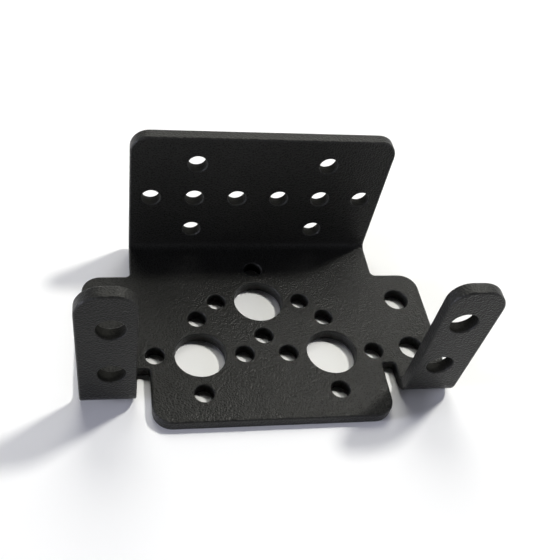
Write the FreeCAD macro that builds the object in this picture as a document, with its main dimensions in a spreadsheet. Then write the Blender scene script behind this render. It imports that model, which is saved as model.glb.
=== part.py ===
import FreeCAD, Part
import math
import os

import Sketcher

# Bent servo bracket: one piece of 2 mm aluminium sheet, lying on its base.
#
# Frame: +X to the right, +Y to the back wall, +Z up, in millimetres.
# The origin is the axis of the middle horn hole, on the underside of the base.
# The base has a tongue at the front, a wing on each side and a back wall bent up
# behind. Each wing carries an ear, bent up at its front edge. A narrow relief
# notch parts every ear and wing from the tongue.

NODE = "servo_bracket"

# Driving dimensions, written to the spreadsheet under these names.
SIZES = {
    "sheet_thickness": 2.0,
    "inner_bend_radius": 1.0,
    "corner_radius": 3.0,
    "ear_corner_radius": 3.8,
    "neck_radius": 0.8,
    "notch_radius": 0.5,
    "edge_round": 0.3,
    "rim_round": 0.2,
    # outline of the base
    "overall_width": 57.4,
    "tongue_width": 36.6,
    "tongue_front": 22.4,
    "notch_root": 12.85,
    "wing_rear": 5.6,
    # ears, bent up from the wings' front edges
    "ear_gap": 41.0,
    "ear_front": 18.15,
    "ear_height": 25.2,
    # back wall, bent up from the neck behind the wings
    "wall_width": 41.8,
    "wall_front": 12.5,
    "wall_height": 25.2,
    # servo horn pattern: one centre hole and four screw holes round it
    "horn_hole": 8.0,
    "screw_hole": 3.0,
    "horn_circle": 14.0,
    "horn_offset": 10.5,
    # servo case pattern: two holes on each ear and on each wing
    "case_hole": 4.0,
    "case_span": 48.0,
    "case_pitch": 10.0,
    "ear_hole_height": 8.6,
    # back wall pattern: a row of holes, and one pair above and one below it
    "row_height": 13.2,
    "row_pitch": 7.0,
    "pair_span": 21.0,
}
ROW_COUNT = 6

# Tolerances: share of a cut's volume, millimetres, and cosines between directions.
VOLUME_TOLERANCE = 0.01
PLACE_TOLERANCE = 0.01
PARALLEL_COSINE = 0.999
SHARP_COSINE = 0.5

# Right half of the base's outline, from the tongue's front corner to the rear.
# The left half mirrors it.
RIGHT_OUTLINE = [
    ("sizes.tongue_width / 2", "-sizes.tongue_front"),
    ("sizes.tongue_width / 2", "-sizes.notch_root"),
    ("sizes.ear_gap / 2", "-sizes.notch_root"),
    ("sizes.ear_gap / 2", "-sizes.ear_front"),
    ("sizes.overall_width / 2", "-sizes.ear_front"),
    ("sizes.overall_width / 2", "sizes.wing_rear"),
    ("sizes.wall_width / 2", "sizes.wing_rear"),
    ("sizes.wall_width / 2", "sizes.wall_front + sizes.sheet_thickness"),
]

# Middle, left and right horn patterns, by the centres of their large holes.
HORN_CENTRES = [
    ("0", "0"),
    ("-sizes.horn_offset", "-sizes.horn_offset"),
    ("sizes.horn_offset", "-sizes.horn_offset"),
]


# ---------------------------------------------------------------- spreadsheet


def make_sizes(doc):
    """Put every driving dimension in a spreadsheet cell that has an alias."""
    sheet = doc.addObject("Spreadsheet::Sheet", "sizes")
    for row, (name, value) in enumerate(SIZES.items(), start=1):
        sheet.set(f"A{row}", name)
        sheet.set(f"B{row}", str(value))
        sheet.setAlias(f"B{row}", name)
    doc.recompute()
    return sheet


# ------------------------------------------------------------------- sketches


def new_sketch(body, name, role, offset=None):
    """Attach a sketch to one of the body's origin planes, moved along its normal."""
    plane = next(f for f in body.Origin.OriginFeatures if f.Role == role)
    sketch = body.newObject("Sketcher::SketchObject", name)
    sketch.AttachmentSupport = [(plane, "")]
    sketch.MapMode = "FlatFace"
    if offset:
        sketch.setExpression("AttachmentOffset.Base.z", offset)
    return sketch


def pin(sketch, geometry, point, across, along):
    """Hold a point of the sketch at two signed distances from its origin."""
    for kind, formula in (("DistanceX", across), ("DistanceY", along)):
        rule = Sketcher.Constraint(kind, -1, 1, geometry, point, 1.0)
        number = sketch.addConstraint(rule)
        sketch.setExpression(f"Constraints[{number}]", formula)


def add_outline(sketch, corners):
    """Draw a closed outline of straight lines through the given corners."""
    count = len(corners)
    start = []
    for number in range(count):
        turn = 2 * math.pi * number / count
        start.append(FreeCAD.Vector(math.cos(turn), math.sin(turn), 0))
    first = sketch.GeometryCount
    for number in range(count):
        line = Part.LineSegment(start[number], start[(number + 1) % count])
        sketch.addGeometry(line)
    for number in range(count):
        here = first + number
        after = first + (number + 1) % count
        sketch.addConstraint(Sketcher.Constraint("Coincident", here, 2, after, 1))
    for number, (across, along) in enumerate(corners):
        pin(sketch, first + number, 1, across, along)


def add_rectangle(sketch, left, right, low, high):
    corners = [(left, low), (right, low), (right, high), (left, high)]
    add_outline(sketch, corners)


def add_hole(sketch, across, along, diameter):
    """Draw one circle, with its centre and its diameter bound to the sizes."""
    circle = Part.Circle(FreeCAD.Vector(), FreeCAD.Vector(0, 0, 1), 1.0)
    number = sketch.addGeometry(circle)
    pin(sketch, number, 3, across, along)
    rule = sketch.addConstraint(Sketcher.Constraint("Diameter", number, 2.0))
    sketch.setExpression(f"Constraints[{rule}]", diameter)


# ------------------------------------------------------------------- features


def add_pad(body, sketch, name):
    pad = body.newObject("PartDesign::Pad", name)
    pad.Profile = sketch
    pad.setExpression("Length", "sizes.sheet_thickness")
    return pad


def add_holes(doc, body, sketch, name, diameters):
    """Cut a sketch's circles through the sheet, and compare the volume lost."""
    before = body.Shape.Volume
    cut = body.newObject("PartDesign::Pocket", name)
    cut.Profile = sketch
    cut.Type = "ThroughAll"
    cut.SideType = "Symmetric"
    doc.recompute()
    area = sum(math.pi * (diameter / 2) ** 2 for diameter in diameters)
    wanted = area * SIZES["sheet_thickness"]
    lost = before - body.Shape.Volume
    if abs(lost - wanted) > VOLUME_TOLERANCE * wanted:
        raise RuntimeError(f"{name} cut {lost:.2f} mm3, not {wanted:.2f} mm3")
    return cut


def edges_along(shape, axis, places):
    """Names of the straight edges along an axis that stand at one of the places.

    A place gives the edge's two other coordinates, in X, Y, Z order.
    """
    others = [number for number in range(3) if number != axis]
    names = []
    for number, edge in enumerate(shape.Edges, start=1):
        if not isinstance(edge.Curve, Part.Line):
            continue
        if abs(edge.Curve.Direction[axis]) < PARALLEL_COSINE:
            continue
        middle = edge.CenterOfMass
        here = [middle[other] for other in others]
        if any(math.dist(here, place) < PLACE_TOLERANCE for place in places):
            names.append(f"Edge{number}")
    return names


def add_fillet(doc, body, name, edges, radius):
    """Round the named edges of the body as it stands."""
    if not edges:
        raise RuntimeError(f"{name} has no edges")
    base = body.Tip
    fillet = body.newObject("PartDesign::Fillet", name)
    fillet.Base = (base, edges)
    fillet.setExpression("Radius", radius)
    doc.recompute()
    return fillet


def mirrored(places):
    """The given places and their mirror images in X."""
    return places + [(-across, other) for across, other in places]


def sharp_edges(shape):
    """Names of the edges where two faces meet at a corner, not smoothly."""
    names = []
    for number, edge in enumerate(shape.Edges, start=1):
        faces = shape.ancestorsOfType(edge, Part.Face)
        if len(faces) != 2:
            continue
        middle = edge.valueAt((edge.FirstParameter + edge.LastParameter) / 2)
        normals = [face.normalAt(*face.Surface.parameter(middle)) for face in faces]
        if abs(normals[0].dot(normals[1])) < SHARP_COSINE:
            names.append(f"Edge{number}")
    return names


# -------------------------------------------------------------- servo bracket


def add_base(body):
    left = [(f"-({across})", along) for across, along in reversed(RIGHT_OUTLINE)]
    sketch = new_sketch(body, "base_outline", "XY_Plane")
    add_outline(sketch, RIGHT_OUTLINE + left)
    add_pad(body, sketch, "base")


def add_wall(body):
    # The upright planes face -Y, so a negative offset puts the sketch behind.
    behind = "-(sizes.wall_front + sizes.sheet_thickness)"
    sketch = new_sketch(body, "wall_outline", "XZ_Plane", behind)
    half = "sizes.wall_width / 2"
    add_rectangle(sketch, f"-{half}", half, "0", "sizes.wall_height")
    add_pad(body, sketch, "wall")


def add_ears(body):
    before = "sizes.ear_front - sizes.sheet_thickness"
    sketch = new_sketch(body, "ear_outlines", "XZ_Plane", before)
    inner = "sizes.ear_gap / 2"
    outer = "sizes.overall_width / 2"
    add_rectangle(sketch, inner, outer, "0", "sizes.ear_height")
    add_rectangle(sketch, f"-{outer}", f"-{inner}", "0", "sizes.ear_height")
    add_pad(body, sketch, "ears")


def round_bends(doc, body):
    """Give the three folds their inner and outer radius."""
    sheet = SIZES["sheet_thickness"]
    wall = SIZES["wall_front"]
    ear = -SIZES["ear_front"]
    inner = edges_along(body.Shape, 0, [(wall, sheet), (ear + sheet, sheet)])
    add_fillet(doc, body, "inner_bends", inner, "sizes.inner_bend_radius")
    outer = edges_along(body.Shape, 0, [(wall + sheet, 0), (ear, 0)])
    radius = "sizes.inner_bend_radius + sizes.sheet_thickness"
    add_fillet(doc, body, "outer_bends", outer, radius)


def round_corners(doc, body):
    """Round the outline's corners in the flat, seen square to the sheet."""
    outer = SIZES["overall_width"] / 2
    inner = SIZES["ear_gap"] / 2
    wall = SIZES["wall_width"] / 2
    tongue = SIZES["tongue_width"] / 2
    flat = mirrored([(tongue, -SIZES["tongue_front"]), (outer, SIZES["wing_rear"])])
    upright = mirrored([(wall, SIZES["wall_height"]), (inner, SIZES["ear_height"])])
    corners = edges_along(body.Shape, 2, flat) + edges_along(body.Shape, 1, upright)
    add_fillet(doc, body, "corners", corners, "sizes.corner_radius")

    ear_corners = mirrored([(outer, SIZES["ear_height"])])
    ear_edges = edges_along(body.Shape, 1, ear_corners)
    add_fillet(doc, body, "ear_outer_corners", ear_edges, "sizes.ear_corner_radius")

    necks = mirrored([(wall, SIZES["wing_rear"])])
    neck_edges = edges_along(body.Shape, 2, necks)
    add_fillet(doc, body, "neck_corners", neck_edges, "sizes.neck_radius")

    root = -SIZES["notch_root"]
    roots = mirrored([(tongue, root), (inner, root)])
    root_edges = edges_along(body.Shape, 2, roots)
    add_fillet(doc, body, "notch_roots", root_edges, "sizes.notch_radius")


def cut_base_holes(doc, body):
    """Three horn patterns, and the case pattern on the wings."""
    sketch = new_sketch(body, "base_hole_places", "XY_Plane")
    diameters = []
    reach = "sizes.horn_circle / 2"
    for across, along in HORN_CENTRES:
        add_hole(sketch, across, along, "sizes.horn_hole")
        diameters.append(SIZES["horn_hole"])
        for side in ("+", "-"):
            add_hole(sketch, f"{across} {side} {reach}", along, "sizes.screw_hole")
            add_hole(sketch, across, f"{along} {side} {reach}", "sizes.screw_hole")
            diameters += [SIZES["screw_hole"]] * 2
    for side in ("-", ""):
        for along in ("0", "-sizes.case_pitch"):
            add_hole(sketch, f"{side}sizes.case_span / 2", along, "sizes.case_hole")
            diameters.append(SIZES["case_hole"])
    add_holes(doc, body, sketch, "base_holes", diameters)


def cut_wall_holes(doc, body):
    """A row of holes, and one pair above and one below it."""
    sketch = new_sketch(body, "wall_hole_places", "XZ_Plane")
    for number in range(ROW_COUNT):
        place = f"{number - (ROW_COUNT - 1) / 2} * sizes.row_pitch"
        add_hole(sketch, place, "sizes.row_height", "sizes.screw_hole")
    for side in ("-", ""):
        across = f"{side}sizes.pair_span / 2"
        for level in ("+", "-"):
            height = f"sizes.row_height {level} sizes.row_pitch"
            add_hole(sketch, across, height, "sizes.screw_hole")
    diameters = [SIZES["screw_hole"]] * len(sketch.Geometry)
    add_holes(doc, body, sketch, "wall_holes", diameters)


def cut_ear_holes(doc, body):
    sketch = new_sketch(body, "ear_hole_places", "XZ_Plane")
    for side in ("-", ""):
        across = f"{side}sizes.case_span / 2"
        for height in ("sizes.ear_hole_height", "sizes.ear_hole_height + sizes.case_pitch"):
            add_hole(sketch, across, height, "sizes.case_hole")
    diameters = [SIZES["case_hole"]] * len(sketch.Geometry)
    add_holes(doc, body, sketch, "ear_holes", diameters)


def make_bracket(doc):
    body = doc.addObject("PartDesign::Body", NODE)
    body.Label = NODE
    add_base(body)
    add_wall(body)
    add_ears(body)
    doc.recompute()
    round_bends(doc, body)
    round_corners(doc, body)
    # Tumbling and blasting round the outline's sharp edges, and the hole rims less.
    edges = sharp_edges(body.Shape)
    add_fillet(doc, body, "edge_rounds", edges, "sizes.edge_round")
    cut_base_holes(doc, body)
    cut_wall_holes(doc, body)
    cut_ear_holes(doc, body)
    rims = sharp_edges(body.Shape)
    add_fillet(doc, body, "rim_rounds", rims, "sizes.rim_round")
    body.Placement = FreeCAD.Placement()
    return body


# --------------------------------------------------------------------- output


def check(doc, bodies):
    """Stop if any object failed, or if a piece is not one closed valid solid."""
    for item in doc.Objects:
        if "Invalid" in item.State or "Error" in item.State:
            raise RuntimeError(f"{item.Name} failed: {item.State}")
    for body in bodies:
        shape = body.Shape
        if shape.isNull() or not shape.isValid() or len(shape.Solids) != 1:
            raise RuntimeError(f"{body.Label} is not one valid solid")


def main():
    doc = FreeCAD.newDocument("bracket")
    make_sizes(doc)
    bodies = [make_bracket(doc)]
    doc.recompute()
    check(doc, bodies)
    os.makedirs("parts", exist_ok=True)
    for body in bodies:
        body.Shape.exportStep(f"parts/{body.Label}.step")
        print(f"{body.Label}: volume {body.Shape.Volume:.1f} mm3")


main()
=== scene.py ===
import math

import bpy
from mathutils import Matrix, Vector
from mathutils.bvhtree import BVHTree


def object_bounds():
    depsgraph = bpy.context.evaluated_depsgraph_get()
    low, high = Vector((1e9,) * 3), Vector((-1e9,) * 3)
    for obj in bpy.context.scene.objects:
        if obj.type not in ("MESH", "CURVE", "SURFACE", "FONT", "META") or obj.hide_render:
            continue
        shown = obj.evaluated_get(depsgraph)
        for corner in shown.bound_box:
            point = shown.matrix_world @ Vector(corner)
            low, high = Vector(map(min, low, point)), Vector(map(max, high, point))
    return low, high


# A bent sheet-metal servo bracket, lying on a pale floor. Everything is in metres,
# in the frame of the CAD model: +X right, +Y to the back wall, +Z up.

# ------------------------------------------------------------------ camera
# The camera looks down at the bracket's front. Its picture is a little off centre.
CAMERA_PLACE = Vector((-0.02372, -0.07458, 0.09327))
CAMERA_YAW = math.radians(14.73)
CAMERA_PITCH = math.radians(50.34)
CAMERA_ROLL = math.radians(-10.66)
CAMERA_LENS = 46.69
CAMERA_SENSOR = 36.0
CAMERA_SHIFT = (0.085, 0.05)
CAMERA_NEAR = 0.005
CAMERA_FAR = 20.0

# ------------------------------------------------------------------- light
# A small key from behind right, a large softbox high up behind, and more of them low down
# all round. Each lamp has its azimuth from +Y towards +X and its elevation in degrees,
# its distance, its size, the irradiance that it gives at the bracket, and its colour.
WARM = (1.0, 0.995, 0.94)
COOL = (0.93, 0.95, 1.14)
LAMPS = {
    "key": (57.5, 57.5, 0.6, 0.07, 1.95, WARM),
    "back_high": (0.0, 58.0, 0.9, 0.48, 1.00, WARM),
    "back": (0.0, 25.0, 0.9, 0.55, 0.50, WARM),
    "back_right": (32.0, 25.0, 0.9, 0.55, 0.42, WARM),
    "right": (90.0, 25.0, 0.9, 0.55, 0.45, COOL),
    "front_right": (135.0, 10.0, 0.9, 0.25, 0.25, COOL),
    "front_left": (225.0, 10.0, 0.9, 0.25, 0.50, COOL),
    "left": (262.0, 10.0, 0.9, 0.25, 2.40, COOL),
}

# The surroundings are pale round the horizon and dark overhead. The fade runs between
# two heights, given as the sine of the elevation.
SURROUND_COLOUR = (1.0, 1.0, 1.0, 1.0)
HORIZON_STRENGTH = 0.50
OVERHEAD_STRENGTH = 0.005
FADE_START = 0.05
FADE_END = 0.45

FLOOR_SIZE = 2.0
FLOOR_COLOUR = (0.98, 0.98, 0.98, 1.0)
FLOOR_ROUGHNESS = 0.9
FLOOR_GLOSS = 0.1


# ---------------------------------------------------------------- finishes
# Sheet faces, cut edges and the walls of small holes share the anodising. Each finish has
# its tone, gloss and roughness. The edges are lighter. The hole walls are duller, and their
# darker tone is painted shade for the shade inside the holes.
HUE = (1.0, 1.0, 0.90)
FINISHES = {
    "sheet_face": (0.0130, 0.13, 0.30),
    "cut_edge": (0.0150, 0.20, 0.40),
    # The hole walls' darker tone is painted shade, not a different finish of the metal.
    "hole_wall_painted_shade": (0.0110, 0.06, 0.60),
}
ROUGHNESS_SPREAD = 0.04

# The blasting left pits about 0.3 mm wide, with a finer tooth over them. Faint clouds
# about 8 mm wide vary the tone. The ranges are the patterns' usual low and high values.
PIT_SCALE = 3500.0
PIT_DEPTH = 0.000070
PIT_CONTRAST = 0.20
PIT_RANGE = (0.1, 0.8)
TOOTH_SCALE = 6000.0
TOOTH_DETAIL = 2.0
TOOTH_DEPTH = 0.000015
CLOUD_SCALE = 120.0
CLOUD_DETAIL = 3.0
CLOUD_CONTRAST = 0.08
NOISE_RANGE = (0.3, 0.7)

# How paint() tells sheet faces, cut edges and small holes apart.
SHEET_THICKNESS = 0.002
THICKNESS_TOLERANCE = 0.00003
FACING_COSINE = -0.995
SMALL_HOLE_WIDTH = 0.005


# ----------------------------------------------------------------- helpers


class Nodes:
    """A small builder for the node tree of a material or a world."""

    def __init__(self, owner):
        owner.use_nodes = True
        self.tree = owner.node_tree
        self.tree.nodes.clear()

    def add(self, kind, inputs=None, **settings):
        node = self.tree.nodes.new(kind)
        for name, value in settings.items():
            setattr(node, name, value)
        for name, value in (inputs or {}).items():
            socket = node.inputs[name]
            if isinstance(value, bpy.types.NodeSocket):
                self.tree.links.new(value, socket)
            else:
                socket.default_value = value
        return node

    def noise(self, place, scale, detail):
        inputs = {"Vector": place, "Scale": scale, "Detail": detail}
        return self.add("ShaderNodeTexNoise", inputs).outputs["Fac"]

    def cells(self, place, scale):
        inputs = {"Vector": place, "Scale": scale}
        return self.add("ShaderNodeTexVoronoi", inputs, feature="F1").outputs["Distance"]

    def ramp(self, value, limits, middle, spread):
        """Spread a pattern's limits evenly round a middle value."""
        inputs = {"Value": value, "From Min": limits[0], "From Max": limits[1]}
        inputs.update({"To Min": middle - spread, "To Max": middle + spread})
        node = self.add("ShaderNodeMapRange", inputs, interpolation_type="SMOOTHSTEP")
        return node.outputs["Result"]

    def math(self, operation, first, second):
        node = self.add("ShaderNodeMath", {0: first, 1: second}, operation=operation)
        return node.outputs[0]

    def bump(self, height, depth, normal=None):
        inputs = {"Height": height, "Distance": depth, "Strength": 1.0}
        if normal is not None:
            inputs["Normal"] = normal
        return self.add("ShaderNodeBump", inputs).outputs["Normal"]


# --------------------------------------------------------------- materials


def anodised_material(name, tone, gloss, roughness):
    """Black anodised aluminium over a sand-blasted surface."""
    material = bpy.data.materials.new(name)
    make = Nodes(material)
    place = make.add("ShaderNodeTexCoord").outputs["Object"]

    pits = make.cells(place, PIT_SCALE)
    tooth = make.noise(place, TOOTH_SCALE, TOOTH_DETAIL)
    cloud = make.noise(place, CLOUD_SCALE, CLOUD_DETAIL)

    shade = make.ramp(pits, PIT_RANGE, 1.0, PIT_CONTRAST)
    drift = make.ramp(cloud, NOISE_RANGE, 1.0, CLOUD_CONTRAST)
    level = make.math("MULTIPLY", shade, drift)
    colour = make.add("ShaderNodeVectorMath", operation="SCALE")
    colour.inputs[0].default_value = [tone * part for part in HUE]
    make.tree.links.new(level, colour.inputs["Scale"])

    blur = make.ramp(pits, PIT_RANGE, roughness, ROUGHNESS_SPREAD)
    grain = make.bump(pits, PIT_DEPTH)
    grain = make.bump(tooth, TOOTH_DEPTH, grain)
    inputs = {
        "Base Color": colour.outputs[0],
        "Roughness": blur,
        "Normal": grain,
        "Specular IOR Level": gloss,
    }
    shader = make.add("ShaderNodeBsdfPrincipled", inputs)
    make.add("ShaderNodeOutputMaterial", {"Surface": shader.outputs[0]})
    return material


def floor_material():
    material = bpy.data.materials.new("pale_floor")
    make = Nodes(material)
    inputs = {
        "Base Color": FLOOR_COLOUR,
        "Roughness": FLOOR_ROUGHNESS,
        "Specular IOR Level": FLOOR_GLOSS,
    }
    shader = make.add("ShaderNodeBsdfPrincipled", inputs)
    make.add("ShaderNodeOutputMaterial", {"Surface": shader.outputs[0]})
    return material


def paint(node):
    """Give the node's sheet faces, cut edges and small hole walls their own finishes.

    A sheet face has its twin one sheet thickness behind it, facing the other way. The wall
    of a small hole or a notch has its other side close in front of it.
    """
    mesh = node.data
    mesh.materials.clear()
    for name, finish in FINISHES.items():
        mesh.materials.append(anodised_material(name, *finish))
    slots = {name: index for index, name in enumerate(FINISHES)}
    tree = BVHTree.FromPolygons([v.co for v in mesh.vertices], [p.vertices for p in mesh.polygons])
    for polygon in mesh.polygons:
        normal = polygon.normal
        start = polygon.center - normal * THICKNESS_TOLERANCE
        _, facing, _, distance = tree.ray_cast(start, -normal)
        twin = (
            distance is not None
            and abs(distance + THICKNESS_TOLERANCE - SHEET_THICKNESS) < THICKNESS_TOLERANCE
            and facing.dot(normal) < FACING_COSINE
        )
        start = polygon.center + normal * THICKNESS_TOLERANCE
        across = tree.ray_cast(start, normal, SMALL_HOLE_WIDTH)[0]
        # Walls of small holes and notches get the darker finish, which is painted shade.
        edge = "cut_edge" if across is None else "hole_wall_painted_shade"
        polygon.material_index = slots["sheet_face" if twin else edge]


# ------------------------------------------------- stage, lights and camera


def make_floor():
    half = FLOOR_SIZE / 2
    mesh = bpy.data.meshes.new("floor")
    corners = [(-half, -half, 0), (half, -half, 0), (half, half, 0), (-half, half, 0)]
    mesh.from_pydata(corners, [], [(0, 1, 2, 3)])
    mesh.materials.append(floor_material())
    floor = bpy.data.objects.new("floor", mesh)
    bpy.context.scene.collection.objects.link(floor)


def add_lamp(name, place, target, size, power, colour):
    lamp = bpy.data.lights.new(name, "AREA")
    lamp.shape = "DISK"
    lamp.size = size
    lamp.energy = power
    lamp.color = colour
    holder = bpy.data.objects.new(name, lamp)
    holder.location = place
    holder.rotation_mode = "QUATERNION"
    holder.rotation_quaternion = (target - place).to_track_quat("-Z", "Y")
    bpy.context.scene.collection.objects.link(holder)


def make_lights(centre):
    """Aim the lamps at the bracket. A disk's irradiance is its power over pi d squared."""
    for name, (azimuth, elevation, distance, size, irradiance, colour) in LAMPS.items():
        turn = math.radians(azimuth)
        tilt = math.radians(elevation)
        level = math.cos(tilt)
        direction = Vector((math.sin(turn) * level, math.cos(turn) * level, math.sin(tilt)))
        power = irradiance * math.pi * distance ** 2
        add_lamp(name, centre + direction * distance, centre, size, power, colour)


def make_surroundings():
    """A world that fades from pale at the horizon to dark overhead."""
    world = bpy.data.worlds.new("studio")
    make = Nodes(world)
    direction = make.add("ShaderNodeTexCoord").outputs["Generated"]
    height = make.add("ShaderNodeSeparateXYZ", {"Vector": direction}).outputs["Z"]
    fade = {"Value": height, "From Min": FADE_START, "From Max": FADE_END}
    fade.update({"To Min": HORIZON_STRENGTH, "To Max": OVERHEAD_STRENGTH})
    strength = make.add("ShaderNodeMapRange", fade, interpolation_type="SMOOTHSTEP")
    inputs = {"Color": SURROUND_COLOUR, "Strength": strength.outputs["Result"]}
    shader = make.add("ShaderNodeBackground", inputs)
    make.add("ShaderNodeOutputWorld", {"Surface": shader.outputs[0]})
    bpy.context.scene.world = world


def make_camera():
    """Turn by the yaw, then look down by the pitch, then roll about the view's axis."""
    forward = Vector((
        math.sin(CAMERA_YAW) * math.cos(CAMERA_PITCH),
        math.cos(CAMERA_YAW) * math.cos(CAMERA_PITCH),
        -math.sin(CAMERA_PITCH),
    ))
    level = Vector((math.cos(CAMERA_YAW), -math.sin(CAMERA_YAW), 0.0))
    down = forward.cross(level)
    right = level * math.cos(CAMERA_ROLL) + down * math.sin(CAMERA_ROLL)
    up = level * math.sin(CAMERA_ROLL) - down * math.cos(CAMERA_ROLL)
    data = bpy.data.cameras.new("camera")
    data.lens = CAMERA_LENS
    data.sensor_width = CAMERA_SENSOR
    data.shift_x, data.shift_y = CAMERA_SHIFT
    data.clip_start = CAMERA_NEAR
    data.clip_end = CAMERA_FAR
    camera = bpy.data.objects.new("camera", data)
    turn = Matrix((right, up, -forward)).transposed()
    camera.matrix_world = Matrix.Translation(CAMERA_PLACE) @ turn.to_4x4()
    bpy.context.scene.collection.objects.link(camera)
    bpy.context.scene.camera = camera


# -------------------------------------------------------------------- scene


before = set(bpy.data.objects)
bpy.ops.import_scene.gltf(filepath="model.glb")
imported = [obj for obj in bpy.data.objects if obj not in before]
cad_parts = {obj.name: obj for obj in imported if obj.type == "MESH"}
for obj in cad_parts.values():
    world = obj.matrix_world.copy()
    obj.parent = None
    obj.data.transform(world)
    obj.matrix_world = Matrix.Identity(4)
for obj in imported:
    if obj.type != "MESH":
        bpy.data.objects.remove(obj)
cad_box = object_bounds()

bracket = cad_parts["servo_bracket"]
paint(bracket)

make_floor()
make_lights((cad_box[0] + cad_box[1]) / 2)
make_surroundings()
make_camera()
bpy.context.scene.view_settings.view_transform = "Standard"
